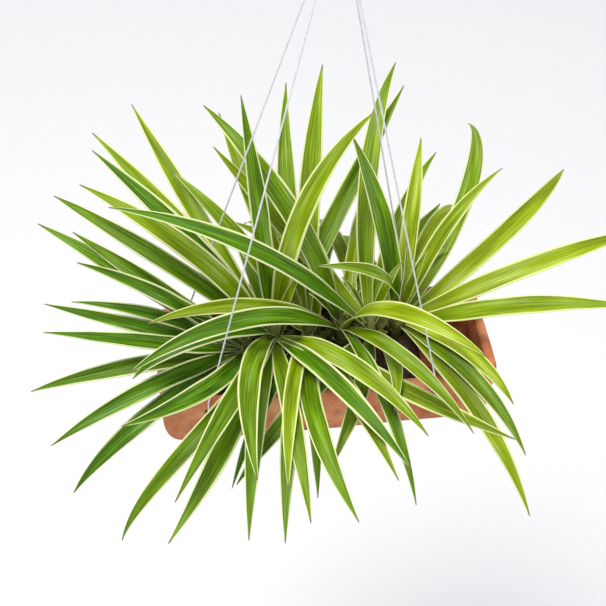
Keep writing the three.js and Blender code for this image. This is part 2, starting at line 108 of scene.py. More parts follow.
def wall_bow(x):
    """How far a long wall stands out beyond the trough's end width."""
    share = min(abs(x - TROUGH_X) / (TROUGH_L / 2), 1)
    return BOW * math.cos(math.pi * share / 2) ** 2


Hanger = namedtuple("Hanger", "name x side turn")
HANGERS = [
    Hanger("front_left", -HOLE_X, -1, 225),
    Hanger("front_right", HOLE_X, -1, 315),
    Hanger("back_left", -HOLE_X + HOLE_BACK_SHIFT, 1, 135),
    Hanger("back_right", HOLE_X + HOLE_BACK_SHIFT, 1, 45),
]


def hanger_route(hanger):
    """Sleeve to rim, down the outside, in through the hole and down in a short tail."""
    face = TROUGH_W / 2 + wall_bow(hanger.x)
    clear = GAP + HANGER_D / 2
    turn = math.radians(hanger.turn)
    bundle_r = 2.6 * MM
    legs = [Vector((bundle_r * math.cos(turn), bundle_r * math.sin(turn),
                    sleeve_high.z - 9 * MM))]
    for out, z in [
        (face + clear, RIM_Z - 3 * MM),
        (face + clear + GAP, HOLE_Z + 3.4 * MM),
        (face - 1.5 * MM, HOLE_Z + 0.6 * MM),
        (face - WALL - 0.5 * MM, HOLE_Z - 0.4 * MM),
        (face - WALL - 3.2 * MM, HOLE_Z - 2.6 * MM),
        (face - WALL - 3.4 * MM, HOLE_Z - 6 * MM),
    ]:
        legs.append(Vector((hanger.x, hanger.side * out, z)))
    return rounded_route(legs, 1.6 * MM)


def rounded_route(points, reach, steps=4):
    """The same route with each corner eased over a short reach."""
    route = [points[0]]
    for before, corner, after in zip(points, points[1:], points[2:]):
        start = corner + (before - corner).normalized() * reach
        end = corner + (after - corner).normalized() * reach
        for step in range(steps + 1):
            t = step / steps
            route.append(start * (1 - t) ** 2 + corner * 2 * t * (1 - t) + end * t ** 2)
    return route + [points[-1]]


def curve_piece(name, route, diameter, material):
    """A round wire along a route, as a curve of one open spline."""
    data = bpy.data.curves.new(name, "CURVE")
    data.dimensions = "3D"
    data.bevel_depth = diameter / 2
    data.bevel_resolution = 3
    data.use_fill_caps = True
    spline = data.splines.new("POLY")
    spline.points.add(len(route) - 1)
    for point, place in zip(spline.points, route):
        point.co = (*place, 1)
    piece = bpy.data.objects.new(name, data)
    bpy.context.scene.collection.objects.link(piece)
    data.materials.append(material)
    return piece


# ---- material helpers -----------------------------------------------------
def srgb(code):
    """Linear colour from a hex sRGB code."""
    channels = [int(code[i:i + 2], 16) / 255 for i in (1, 3, 5)]
    linear = [c / 12.92 if c <= 0.04045 else ((c + 0.055) / 1.055) ** 2.4 for c in channels]
    return (*linear, 1)


def new_material(name):
    material = bpy.data.materials.new(name)
    material.use_nodes = True
    return material, material.node_tree.nodes["Principled BSDF"]


def add(material, kind, inputs=None, **settings):
    """One shader node, its settings, and its inputs by name or number:
    a value, or another node's output to link from."""
    tree = material.node_tree
    node = tree.nodes.new(kind)
    for key, value in settings.items():
        setattr(node, key, value)
    for key, value in (inputs or {}).items():
        if isinstance(value, bpy.types.NodeSocket):
            tree.links.new(value, node.inputs[key])
        else:
            node.inputs[key].default_value = value
    return node


def ramp_stops(node, stops):
    """Sets a Color Ramp's stops from (position, hex colour) pairs."""
    elements = node.color_ramp.elements
    while len(elements) > 1:
        elements.remove(elements[-1])
    elements[0].position = stops[0][0]
    elements[0].color = srgb(stops[0][1])
    for position, code in stops[1:]:
        elements.new(position).color = srgb(code)


def object_coordinates(material):
    return add(material, "ShaderNodeTexCoord").outputs["Object"]


# ---- materials ------------------------------------------------------------
def galvanised_steel(name, roughness=0.42):
    """Drawn wire dipped in zinc: pale, slightly blue and mottled by its crystals."""
    material, shader = new_material(name)
    spangle_mm = 3.0
    place = object_coordinates(material)
    grain = add(material, "ShaderNodeTexNoise", {
        "Vector": place, "Scale": 1 / (spangle_mm * MM), "Detail": 3.0, "Roughness": 0.6})
    tint = add(material, "ShaderNodeValToRGB", {"Fac": grain.outputs["Fac"]})
    ramp_stops(tint, [(0.35, "#d2d2dc"), (0.65, "#ececf4")])
    dull = add(material, "ShaderNodeMapRange", {
        "Value": grain.outputs["Fac"], "To Min": roughness - 0.08, "To Max": roughness + 0.1})
    links = material.node_tree.links
    links.new(tint.outputs["Color"], shader.inputs["Base Color"])
    links.new(dull.outputs["Result"], shader.inputs["Roughness"])
    shader.inputs["Metallic"].default_value = 0.25
    return material


def fired_terracotta():
    """Hand-built, unglazed, low-fired clay: matt, grainy, cloudy from its firing, darker where water
    has run from the drilled holes."""
    material, shader = new_material("fired_terracotta")
    links = material.node_tree.links
    place = object_coordinates(material)
    # cloudy firing marks, about 40 mm across
    cloud = add(material, "ShaderNodeTexNoise", {
        "Vector": place, "Scale": 1 / (40 * MM), "Detail": 5.0, "Roughness": 0.58})
    clay = add(material, "ShaderNodeValToRGB", {"Fac": cloud.outputs["Fac"]})
    ramp_stops(clay, [(0.28, "#ab5f3e"), (0.46, "#cc7c52"), (0.58, "#da9266"), (0.76, "#eab48d")])
    # grog and sand in the clay, drawn at 1.6 mm so that it shows
    grit = add(material, "ShaderNodeTexNoise", {
        "Vector": place, "Scale": 1 / (1.6 * MM), "Detail": 2.0, "Roughness": 0.7})
    speck = add(material, "ShaderNodeMapRange", {
        "Value": grit.outputs["Fac"], "From Min": 0.3, "From Max": 0.7, "To Min": 0.86, "To Max": 1.1})
    grainy = add(material, "ShaderNodeVectorMath", {
        0: clay.outputs["Color"], "Scale": speck.outputs["Result"]}, operation="SCALE")
    # damp brown-violet patches low on the walls
    split = add(material, "ShaderNodeSeparateXYZ", {"Vector": place})
    patch = add(material, "ShaderNodeTexNoise", {
        "Vector": place, "Scale": 1 / (26 * MM), "Detail": 4.0, "Roughness": 0.62, "W": 3.0},
        noise_dimensions="4D")
    low = add(material, "ShaderNodeMapRange", {
        "Value": split.outputs["Z"], "From Min": RIM_Z, "From Max": FOOT_Z,
        "To Min": -0.1, "To Max": 0.12})
    wet = add(material, "ShaderNodeMath", {
        0: patch.outputs["Fac"], 1: low.outputs["Result"]}, operation="ADD")
    damp = add(material, "ShaderNodeMapRange", {
        "Value": wet.outputs["Value"], "From Min": 0.52, "From Max": 0.72, "To Max": 0.55})
    damp_clay = add(material, "ShaderNodeMix", {
        "Factor": damp.outputs["Result"], 6: grainy.outputs["Vector"], 7: srgb("#7d4836")},
        data_type="RGBA")
    runs = add_runs(material, place, split)
    stained = add(material, "ShaderNodeMix", {
        "Factor": runs, 6: damp_clay.outputs[2], 7: srgb("#4c2b22")}, data_type="RGBA")
    links.new(stained.outputs[2], shader.inputs["Base Color"])
    shader.inputs["Roughness"].default_value = 0.86
    shader.inputs["Specular IOR Level"].default_value = 0.3
    # grain and finger marks
    thumb = add(material, "ShaderNodeTexNoise", {
        "Vector": place, "Scale": 1 / (9 * MM), "Detail": 3.0, "Roughness": 0.5})
    relief = add(material, "ShaderNodeMath", {
        0: thumb.outputs["Fac"], 1: 2.0, 2: grit.outputs["Fac"]}, operation="MULTIPLY_ADD")
    bump = add(material, "ShaderNodeBump", {
        "Height": relief.outputs["Value"], "Strength": 0.35, "Distance": 0.6 * MM})
    links.new(bump.outputs["Normal"], shader.inputs["Normal"])
    return material


def add_runs(material, place, split):
    """Dark runs under the front holes: narrow, wavering, fading downwards."""
    waver = add(material, "ShaderNodeTexNoise", {
        "Vector": place, "Scale": 1 / (7 * MM), "Detail": 2.0, "Roughness": 0.5})
    sway = add(material, "ShaderNodeMath", {
        0: waver.outputs["Fac"], 1: 9 * MM, 2: -4.5 * MM}, operation="MULTIPLY_ADD")
    shifted = add(material, "ShaderNodeMath", {
        0: split.outputs["X"], 1: sway.outputs["Value"]}, operation="ADD")
    fade = add(material, "ShaderNodeMapRange", {
        "Value": split.outputs["Z"], "From Min": HOLE_Z - 34 * MM, "From Max": HOLE_Z + 1 * MM,
        "To Min": 0.0, "To Max": 0.95})
    below = add(material, "ShaderNodeMath", {
        0: split.outputs["Z"], 1: HOLE_Z + 3 * MM}, operation="LESS_THAN")
    front = add(material, "ShaderNodeMath", {
        0: split.outputs["Y"], 1: -TROUGH_W / 2 + WALL * 0.6}, operation="LESS_THAN")
    total = None
    for hole_x, half_mm in ((-HOLE_X, 3.6), (HOLE_X, 2.4)):
        off = add(material, "ShaderNodeMath", {
            0: shifted.outputs["Value"], 1: -hole_x}, operation="ADD")
        far = add(material, "ShaderNodeMath", {0: off.outputs["Value"]}, operation="ABSOLUTE")
        run = add(material, "ShaderNodeMapRange", {
            "Value": far.outputs["Value"], "From Min": half_mm * MM, "From Max": half_mm * 0.3 * MM})
        if total is None:
            total = run.outputs["Result"]
        else:
            total = add(material, "ShaderNodeMath", {0: total, 1: run.outputs["Result"]},
                        operation="MAXIMUM").outputs["Value"]
    for mask in (fade.outputs["Result"], below.outputs["Value"], front.outputs["Value"]):
        total = add(material, "ShaderNodeMath", {0: total, 1: mask},
                    operation="MULTIPLY").outputs["Value"]
    return total


def moist_compost():
    """Peaty potting soil, crumbled, with paler bark bits; painted shade makes it nearly black in the
    hollows of its bumps.
    """
    material, shader = new_material("moist_compost")
    links = material.node_tree.links
    place = object_coordinates(material)
    crumb = add(material, "ShaderNodeTexNoise", {
        "Vector": place, "Scale": 1 / (3.5 * MM), "Detail": 6.0, "Roughness": 0.7})
    # the same noise gives the colour and the bumps, so the low crumbs get painted shade
    soil = add(material, "ShaderNodeValToRGB", {"Fac": crumb.outputs["Fac"]})
    ramp_stops(soil, [(0.3, "#1c120b"), (0.5, "#3b281a"), (0.64, "#5b402a"), (0.78, "#8a6848")])
    links.new(soil.outputs["Color"], shader.inputs["Base Color"])
    shader.inputs["Roughness"].default_value = 0.95
    bump = add(material, "ShaderNodeBump", {
        "Height": crumb.outputs["Fac"], "Strength": 0.9, "Distance": 1.5 * MM})
    links.new(bump.outputs["Normal"], shader.inputs["Normal"])
    return material


def variegated_leaf():
    """Living leaf with a waxy satin skin: green middle with lengthwise streaks and veins,
    a cream margin down each side, paler at its foot and dry at its very tip.
    The UV map runs across (0 to 1) and along the leaf; its tone attribute goes from deep green in
    painted shade to yellow-green in painted sunlight, and leaf_id sets each leaf's own streaks."""
    material, shader = new_material("variegated_leaf")
    links = material.node_tree.links
    uv = add(material, "ShaderNodeUVMap", uv_map="UVMap")
    split = add(material, "ShaderNodeSeparateXYZ", {"Vector": uv.outputs["UV"]})
    tone = add(material, "ShaderNodeAttribute", attribute_name="leaf_light_and_tone").outputs["Fac"]
    which = add(material, "ShaderNodeAttribute", attribute_name="leaf_id").outputs["Fac"]
    # a lengthwise streak is about 1.2 mm wide and 60 mm long on a 16 mm leaf
    lengthwise = add(material, "ShaderNodeCombineXYZ", {
        "X": split.outputs["X"], "Y": split.outputs["Y"], "Z": which})
    drawn = add(material, "ShaderNodeVectorMath", {
        0: lengthwise.outputs["Vector"], 1: (13.0, 4.0, 37.0)}, operation="MULTIPLY")
    streak = add(material, "ShaderNodeTexNoise", {
        "Vector": drawn.outputs["Vector"], "Scale": 1.0, "Detail": 3.0, "Roughness": 0.6})
    # the leaf green twice over: once in painted shade and once in painted sunlight
    deep = add(material, "ShaderNodeValToRGB", {"Fac": streak.outputs["Fac"]})
    ramp_stops(deep, [(0.3, "#284700"), (0.46, "#416b03"), (0.6, "#5a8807"), (0.78, "#83ab2e")])
    sunlit = add(material, "ShaderNodeValToRGB", {"Fac": streak.outputs["Fac"]})
    ramp_stops(sunlit, [(0.3, "#7f9616"), (0.46, "#9aae1f"), (0.6, "#b0c034"), (0.78, "#c6cf66")])
    green = add(material, "ShaderNodeMix", {
        "Factor": tone, 6: deep.outputs["Color"], 7: sunlit.outputs["Color"]}, data_type="RGBA")
    # slow patches along a leaf, about 80 mm apart, from a paler, greyer painted sheen to darker, more
    # saturated painted shade
    slow = add(material, "ShaderNodeVectorMath", {
        0: lengthwise.outputs["Vector"], 1: (1.6, 3.2, 11.0)}, operation="MULTIPLY")
    painted_sheen_and_shade = add(material, "ShaderNodeTexNoise", {
        "Vector": slow.outputs["Vector"], "Scale": 1.0, "Detail": 1.0, "Roughness": 0.5})
    clear = add(material, "ShaderNodeMapRange", {
        "Value": painted_sheen_and_shade.outputs["Fac"], "From Min": 0.36, "From Max": 0.64,
        "To Min": 0.92, "To Max": 1.22})
    dim = add(material, "ShaderNodeMapRange", {
        "Value": painted_sheen_and_shade.outputs["Fac"], "From Min": 0.36, "From Max": 0.64,
        "To Min": 1.24, "To Max": 0.73})
    living = add(material, "ShaderNodeHueSaturation", {
        "Saturation": clear.outputs["Result"], "Value": dim.outputs["Result"],
        "Color": green.outputs[2]})
    # how far from the middle of the leaf, 0 to 0.5, with an edge that wanders with the streaks
    # and a margin that is narrower on some leaves than on others
    from_middle = add(material, "ShaderNodeMath", {
        0: split.outputs["X"], 1: -0.5}, operation="ADD")
    away = add(material, "ShaderNodeMath", {0: from_middle.outputs["Value"]}, operation="ABSOLUTE")
    wander = add(material, "ShaderNodeMath", {
        0: streak.outputs["Fac"], 1: 0.14, 2: away.outputs["Value"]}, operation="MULTIPLY_ADD")
    breed = add(material, "ShaderNodeTexWhiteNoise", {"W": which}, noise_dimensions="1D")
    narrow = add(material, "ShaderNodeMath", {
        0: breed.outputs["Value"], 1: -0.06, 2: wander.outputs["Value"]}, operation="MULTIPLY_ADD")
    margin = add(material, "ShaderNodeMapRange", {
        "Value": narrow.outputs["Value"], "From Min": 0.44, "From Max": 0.484},
        interpolation_type="SMOOTHSTEP")
    # the cream margin in painted shade and in painted sunlight
    cream = add(material, "ShaderNodeMix", {
        "Factor": tone, 6: srgb("#d6dca6"), 7: srgb("#dde28f")}, data_type="RGBA")
    striped = add(material, "ShaderNodeMix", {
        "Factor": margin.outputs["Result"], 6: living.outputs["Color"], 7: cream.outputs[2]},
        data_type="RGBA")
    # pale foot and dry tip
    foot = add(material, "ShaderNodeMapRange", {
        "Value": split.outputs["Y"], "From Min": 0.16, "From Max": 0.0, "To Max": 0.6})
    footed = add(material, "ShaderNodeMix", {
        "Factor": foot.outputs["Result"], 6: striped.outputs[2], 7: srgb("#8f9d40")},
        data_type="RGBA")
    tip = add(material, "ShaderNodeMapRange", {
        "Value": split.outputs["Y"], "From Min": 0.965, "From Max": 0.99, "To Max": 0.85})
    tipped = add(material, "ShaderNodeMix", {
        "Factor": tip.outputs["Result"], 6: footed.outputs[2], 7: srgb("#7b6a4c")},
        data_type="RGBA")
    links.new(tipped.outputs[2], shader.inputs["Base Color"])
    shader.inputs["Roughness"].default_value = 0.45
    shader.inputs["Specular IOR Level"].default_value = 0.22
    shader.inputs["Subsurface Weight"].default_value = 0.12
    shader.inputs["Subsurface Radius"].default_value = (0.6, 1.0, 0.2)
    shader.inputs["Subsurface Scale"].default_value = 1.2 * MM
    # parallel veins every 1.3 mm
    veins = add(material, "ShaderNodeMath", {
        0: split.outputs["X"], 1: 2 * math.pi * 12}, operation="MULTIPLY")
    ridge = add(material, "ShaderNodeMath", {0: veins.outputs["Value"]}, operation="SINE")
    height = add(material, "ShaderNodeMath", {
        0: streak.outputs["Fac"], 1: 2.2, 2: ridge.outputs["Value"]}, operation="MULTIPLY_ADD")
    bump = add(material, "ShaderNodeBump", {
        "Height": height.outputs["Value"], "Strength": 0.3, "Distance": 0.12 * MM})
    links.new(bump.outputs["Normal"], shader.inputs["Normal"])
    return material


def papery_sheath():
    """Old leaf bases dried to thin tan paper round each crown."""
    material, shader = new_material("papery_sheath")
    links = material.node_tree.links
    uv = add(material, "ShaderNodeUVMap", uv_map="UVMap")
    drawn = add(material, "ShaderNodeVectorMath", {
        0: uv.outputs["UV"], 1: (9.0, 1.5, 1.0)}, operation="MULTIPLY")
    fibre = add(material, "ShaderNodeTexNoise", {
        "Vector": drawn.outputs["Vector"], "Scale": 1.0, "Detail": 4.0, "Roughness": 0.6})
    tint = add(material, "ShaderNodeValToRGB", {"Fac": fibre.outputs["Fac"]})
    ramp_stops(tint, [(0.35, "#4f4a22"), (0.5, "#6f7534"), (0.68, "#9a9c5c")])
    links.new(tint.outputs["Color"], shader.inputs["Base Color"])
    shader.inputs["Roughness"].default_value = 0.7
    return material


def studio_paper():
    """Seamless backdrop paper: matt, fibrous and almost white."""
    material, shader = new_material("studio_paper")
    links = material.node_tree.links
    fibre_mm = 4.0
    fibre = add(material, "ShaderNodeTexNoise", {
        "Vector": object_coordinates(material), "Scale": 1 / (fibre_mm * MM), "Detail": 2.0})
    tint = add(material, "ShaderNodeValToRGB", {"Fac": fibre.outputs["Fac"]})
    ramp_stops(tint, [(0.3, "#f5f6f8"), (0.7, "#f8f9fa")])
    links.new(tint.outputs["Color"], shader.inputs["Base Color"])
    shader.inputs["Roughness"].default_value = 0.9
    return material


# ---- mesh helpers ---------------------------------------------------------
def smooth(x, low, high):
    t = min(max((x - low) / (high - low), 0), 1)
    return t * t * (3 - 2 * t)


def lerp(a, b, t):
    return a + (b - a) * t


def mesh_piece(name, bm, *materials):
    """A finished, smooth-shaded object from a bmesh."""
    mesh = bpy.data.meshes.new(name)
    bm.to_mesh(mesh)
    bm.free()
    for material in materials:
        mesh.materials.append(material)
    mesh.shade_smooth()
    piece = bpy.data.objects.new(name, mesh)
    bpy.context.scene.collection.objects.link(piece)
    return piece


def apply_modifiers(piece):
    """Keeps the shape that the piece's modifiers give it."""
    shown = piece.evaluated_get(bpy.context.evaluated_depsgraph_get())
    mesh = bpy.data.meshes.new_from_object(shown)
    piece.modifiers.clear()
    piece.data = mesh


def in_place(piece, slot, *nodes):
    """The piece rides on the one rigid body and stands for these CAD nodes."""
    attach(piece, "root")
    if nodes:
        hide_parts(*nodes)


# ---- trough ---------------------------------------------------------------
AROUND = 240                      # points round the trough
EASED_STEPS = 4                   # steps from one key row of a skin to the next


def rounded_rectangle(share, length, width, corner, bow=BOW):
    """The point this share of the way round, from the middle of the right end."""
    straight_x = length - 2 * corner
    straight_y = width - 2 * corner
    quarter = math.pi * corner / 2
    total = 2 * straight_x + 2 * straight_y + 4 * quarter
    left = (share % 1) * total
    legs = [
        ("up", straight_y / 2), (0, quarter), ("left", straight_x), (90, quarter),
        ("down", straight_y), (180, quarter), ("right", straight_x), (270, quarter),
        ("last", straight_y / 2),
    ]
    half_x, half_y = length / 2, width / 2
    centres = {0: (1, 1), 90: (-1, 1), 180: (-1, -1), 270: (1, -1)}
    x, y = half_x, 0.0
    for leg, reach in legs:
        t = min(left, reach)
        if leg == "up":
            x, y = half_x, t
        elif leg == "left":
            x, y = half_x - corner - t, half_y
        elif leg == "down":
            x, y = -half_x, half_y - corner - t
        elif leg == "right":
            x, y = -half_x + corner + t, -half_y
        elif leg == "last":
            x, y = half_x, -half_y + corner + t
        else:
            turn = math.radians(leg) + t / corner
            sx, sy = centres[leg]
            x = sx * (half_x - corner) + corner * math.cos(turn)
            y = sy * (half_y - corner) + corner * math.sin(turn)
        if left <= reach:
            break
        left -= reach
    reach_x = min(abs(x) / half_x, 1)
    swell = bow * math.cos(math.pi * reach_x / 2) ** 2 if abs(y) > half_y * 0.5 else 0
    return Vector((x + TROUGH_X, y + math.copysign(swell, y), 0))


def grow_ring(bm, ring):
    """Extrudes a closed ring of vertices and returns the new ring in the same order."""
    edges = [bm.edges.get((a, b)) for a, b in zip(ring, ring[1:] + ring[:1])]
    made = bmesh.ops.extrude_edge_only(bm, edges=edges)["geom"]
    fresh = {v for v in made if isinstance(v, bmesh.types.BMVert)}
    return [next(e.other_vert(v) for e in v.link_edges if e.other_vert(v) in fresh) for v in ring]


def ring_stack(bm, levels):
    """A skin through rounded rectangles, each (length, width, corner, z), capped at both ends."""
    circle = bmesh.ops.create_circle(bm, segments=AROUND, radius=1)["verts"]
    ring = list(circle)
    first = ring
    for index, (length, width, corner, z) in enumerate(levels):
        if index:
            ring = grow_ring(bm, ring)
        for i, vert in enumerate(ring):
            vert.co = rounded_rectangle(i / AROUND, length, width, corner)
            vert.co.z = z
    bm.faces.new(first)
    bm.faces.new(ring)
    bmesh.ops.recalc_face_normals(bm, faces=bm.faces)


def eased(keys, steps):
    """Points between key rows along a smooth curve through them."""
    rows = []
    padded = [keys[0]] + list(keys) + [keys[-1]]
    for a, b, c, d in zip(padded, padded[1:], padded[2:], padded[3:]):
        for step in range(steps):
            t = step / steps
            rows.append(tuple(
                0.5 * (2 * q + (r - p) * t + (2 * p - 5 * q + 4 * r - s) * t * t
                       + (3 * q - p - 3 * r + s) * t ** 3)
                for p, q, r, s in zip(a, b, c, d)))
    return rows + [tuple(keys[-1])]


def trough_levels():
    """Key rows from under the base, up the outside, over the rim and down inside."""
    length, width, corner = TROUGH_L, TROUGH_W, CORNER_R
    outer = [
        (length * 0.3, width * 0.12, 4 * MM, FOOT_Z),
        (length - 60 * MM, width - 58 * MM, 10 * MM, FOOT_Z),
        (length - 19 * MM, width - 17 * MM, corner - 6 * MM, FOOT_Z),
        (length - 7 * MM, width - 6 * MM, corner - 2 * MM, FOOT_Z + 6 * MM),
        (length - 3 * MM, width - 3 * MM, corner, FOOT_Z + 24 * MM),
        (length - 1 * MM, width - 1 * MM, corner, RIM_Z - 18 * MM),
        (length, width, corner, RIM_Z - 6 * MM),
        (length - 0.8 * MM, width - 0.8 * MM, corner - 0.5 * MM, RIM_Z - 2.4 * MM),
        (length - 4 * MM, width - 4 * MM, corner - 2 * MM, RIM_Z - 0.3 * MM),
    ]
    l, w, r = length - 2 * WALL, width - 2 * WALL, corner - WALL * 0.6
    inner = [
        (l + 8 * MM, w + 8 * MM, r + 4 * MM, RIM_Z),
        (l + 3 * MM, w + 3 * MM, r + 1.5 * MM, RIM_Z - 1.6 * MM),
        (l, w, r, RIM_Z - 5 * MM),
        (l - 1.5 * MM, w - 1.5 * MM, r, RIM_Z - 24 * MM),
        (l - 3 * MM, w - 3 * MM, r, FLOOR_Z + 7 * MM),
        (l - 9 * MM, w - 9 * MM, r, FLOOR_Z + 0.8 * MM),
        (l - 40 * MM, w - 40 * MM, r, FLOOR_Z),
        (l * 0.4, w * 0.16, 4 * MM, FLOOR_Z),
    ]
    return eased(outer + inner, EASED_STEPS)


def hand_worked(bm, swell, ripple):
    """Slow swells and finger ripples, of these heights, pressed into wet clay."""
    palm, finger = 55 * MM, 12 * MM
    elsewhere = Vector((7, 3, 5))
    bm.normal_update()
    moves = []
    for vert in bm.verts:
        slow = noise.noise(vert.co / palm)
        quick = noise.noise(vert.co / finger + elsewhere)
        moves.append(vert.normal * (swell * slow + ripple * quick))
    for vert, move in zip(bm.verts, moves):
        vert.co += move


def build_trough(clay):
    """The walls and floor in one skin, with the hanger holes drilled through."""
    bm = bmesh.new()
    ring_stack(bm, trough_levels())
    bmesh.ops.triangulate(bm, faces=[f for f in bm.faces if len(f.verts) > 4])
    hand_worked(bm, swell=0.9 * MM, ripple=0.22 * MM)
    trough = mesh_piece("terracotta_walls", bm, clay)
    drill = bmesh.new()
    for hanger in HANGERS:
        across = Matrix.Rotation(math.pi / 2, 4, "X")
        place = Matrix.Translation((hanger.x, hanger.side * (TROUGH_W / 2 - WALL / 2), HOLE_Z))
        bmesh.ops.create_cone(drill, cap_ends=True, segments=28, radius1=HOLE_D / 2,
                              radius2=HOLE_D / 2, depth=4 * WALL, matrix=place @ across)
    cutter = mesh_piece("drill", drill, clay)
    cut = trough.modifiers.new("holes", "BOOLEAN")
    cut.operation = "DIFFERENCE"
    cut.solver = "EXACT"
    cut.object = cutter
    apply_modifiers(trough)
    bpy.data.objects.remove(cutter)
    trough.data.shade_smooth()
    in_place(trough, "terracotta", "terracotta_trough")


def build_feet(clay):
    """A shallow keel under the floor and a pressed pat of clay under each corner."""
    bm = bmesh.new()
    keel_l, keel_w = 204 * MM, TROUGH_W - 34 * MM
    keel_z = FOOT_Z - 4.4 * MM
    ring_stack(bm, eased([
        (keel_l * 0.4, keel_w * 0.2, 6 * MM, keel_z),
        (keel_l - 24 * MM, keel_w - 24 * MM, 16 * MM, keel_z),
        (keel_l - 8 * MM, keel_w - 8 * MM, 18 * MM, keel_z + 1 * MM),
        (keel_l + 10 * MM, keel_w + 10 * MM, 20 * MM, FOOT_Z + 3 * MM),
    ], EASED_STEPS))
    pat_r = 10 * MM
    pressed = (1, 0.95, 0.55)
    for sx in (-1, 1):
        for sy in (-1, 1):
            spot = Vector((TROUGH_X + sx * (TROUGH_L / 2 - 21 * MM),
                           sy * (TROUGH_W / 2 - 20 * MM), FOOT_Z + 1.5 * MM))
            pat = bmesh.ops.create_uvsphere(bm, u_segments=28, v_segments=14, radius=pat_r)
            bmesh.ops.scale(bm, vec=pressed, verts=pat["verts"])
            bmesh.ops.translate(bm, vec=spot, verts=pat["verts"])
    hand_worked(bm, swell=0.3 * MM, ripple=0.2 * MM)
    in_place(mesh_piece("terracotta_feet", bm, clay), "terracotta")


# ---- soil -----------------------------------------------------------------
SOIL_FROM = -112 * MM
SOIL_TO = 118 * MM
SOIL_DROP = 15 * MM               # from the rim down to the top of the heap
CLOD = 9 * MM                     # size of a clod, and of a crumb
CRUMB = 2.6 * MM


def build_soil(compost):
    """A root ball heaped along the middle, falling to the bare floor at both ends."""
    bm = bmesh.new()
    patch = bmesh.ops.create_grid(bm, x_segments=180, y_segments=84, size=1)
    middle = (SOIL_FROM + SOIL_TO) / 2
    half = (SOIL_TO - SOIL_FROM) / 2
    reach = TROUGH_W / 2 - WALL + 0.5 * MM
    for vert in patch["verts"]:
        along, across = vert.co.x, vert.co.y
        frayed = along * (1 + 0.05 * noise.noise(Vector((across * 3, along, 2))))
        x = middle + half * frayed
        # 0 on top of the heap, 1 where it has fallen to the floor, sooner at its sides
        fall = smooth(abs(frayed) + 0.12 * across ** 2, 0.8, 1.04)
        clod = noise.noise(Vector((x, across * reach, 0)) / CLOD)
        crumb = noise.noise(Vector((x, across * reach, 4)) / CRUMB)
        top = RIM_Z - SOIL_DROP + 1.6 * MM * clod + 0.8 * MM * crumb * (1 - 0.5 * fall)
        z = lerp(top, FLOOR_Z + 0.9 * MM + 0.5 * MM * clod, fall)
        settle = 4 * MM * (RIM_Z - z) / TROUGH_H
        edge = reach + wall_bow(x) - settle
        vert.co = Vector((x, across * edge, z))
    skin = bmesh.ops.extrude_face_region(bm, geom=list(bm.faces))["geom"]
    under = [v for v in skin if isinstance(v, bmesh.types.BMVert)]
    for vert in under:
        vert.co.z = FLOOR_Z - 2 * MM
    bmesh.ops.recalc_face_normals(bm, faces=bm.faces)
    in_place(mesh_piece("soil_surface", bm, compost), "soil", "potting_soil")


# ---- plants ---------------------------------------------------------------
CROWN_Z = RIM_Z + 4 * MM
LEAF_FOOT_R = 5 * MM
BEND = 1.3
CHANNEL = 0.16
ROLL = 33                         # degrees that a sideways leaf rolls towards the front
ROLLED_BY = 0.3                   # share of a leaf over which it rolls
LEAF_T = 0.75 * MM
SHEATH_T = 0.5 * MM
STEPS = 40                        # steps that sum up a leaf's line
LEAF_ACROSS = 12                  # faces across a leaf and along it
LEAF_ALONG = 56
TWIST = 24                        # most degrees that a leaf twists by its tip, either way
RIPPLE = (0.15 * MM, 0.5 * MM)    # least and most height of a margin's ripple
WAVES = (2.5, 4.5)                # least and most ripples along a leaf
FULL_WAVE = 6.28                  # radians
TIP_HALF = 0.22 * MM              # half the width that a leaf's point keeps
TUCK = 2 * MM                     # how far a foot is tucked into its crown

# Heading about +Z from +X, rise above level at the foot, length, droop along the leaf,
# sweep of its heading along it, width, height of its foot above the crown.
MEASURES = "heading rise length droop sweep width foot"
Leaf = namedtuple("Leaf", MEASURES)
Fan = namedtuple("Fan", "leaves " + MEASURES)
Plant = namedtuple("Plant", "name crown seed fans")

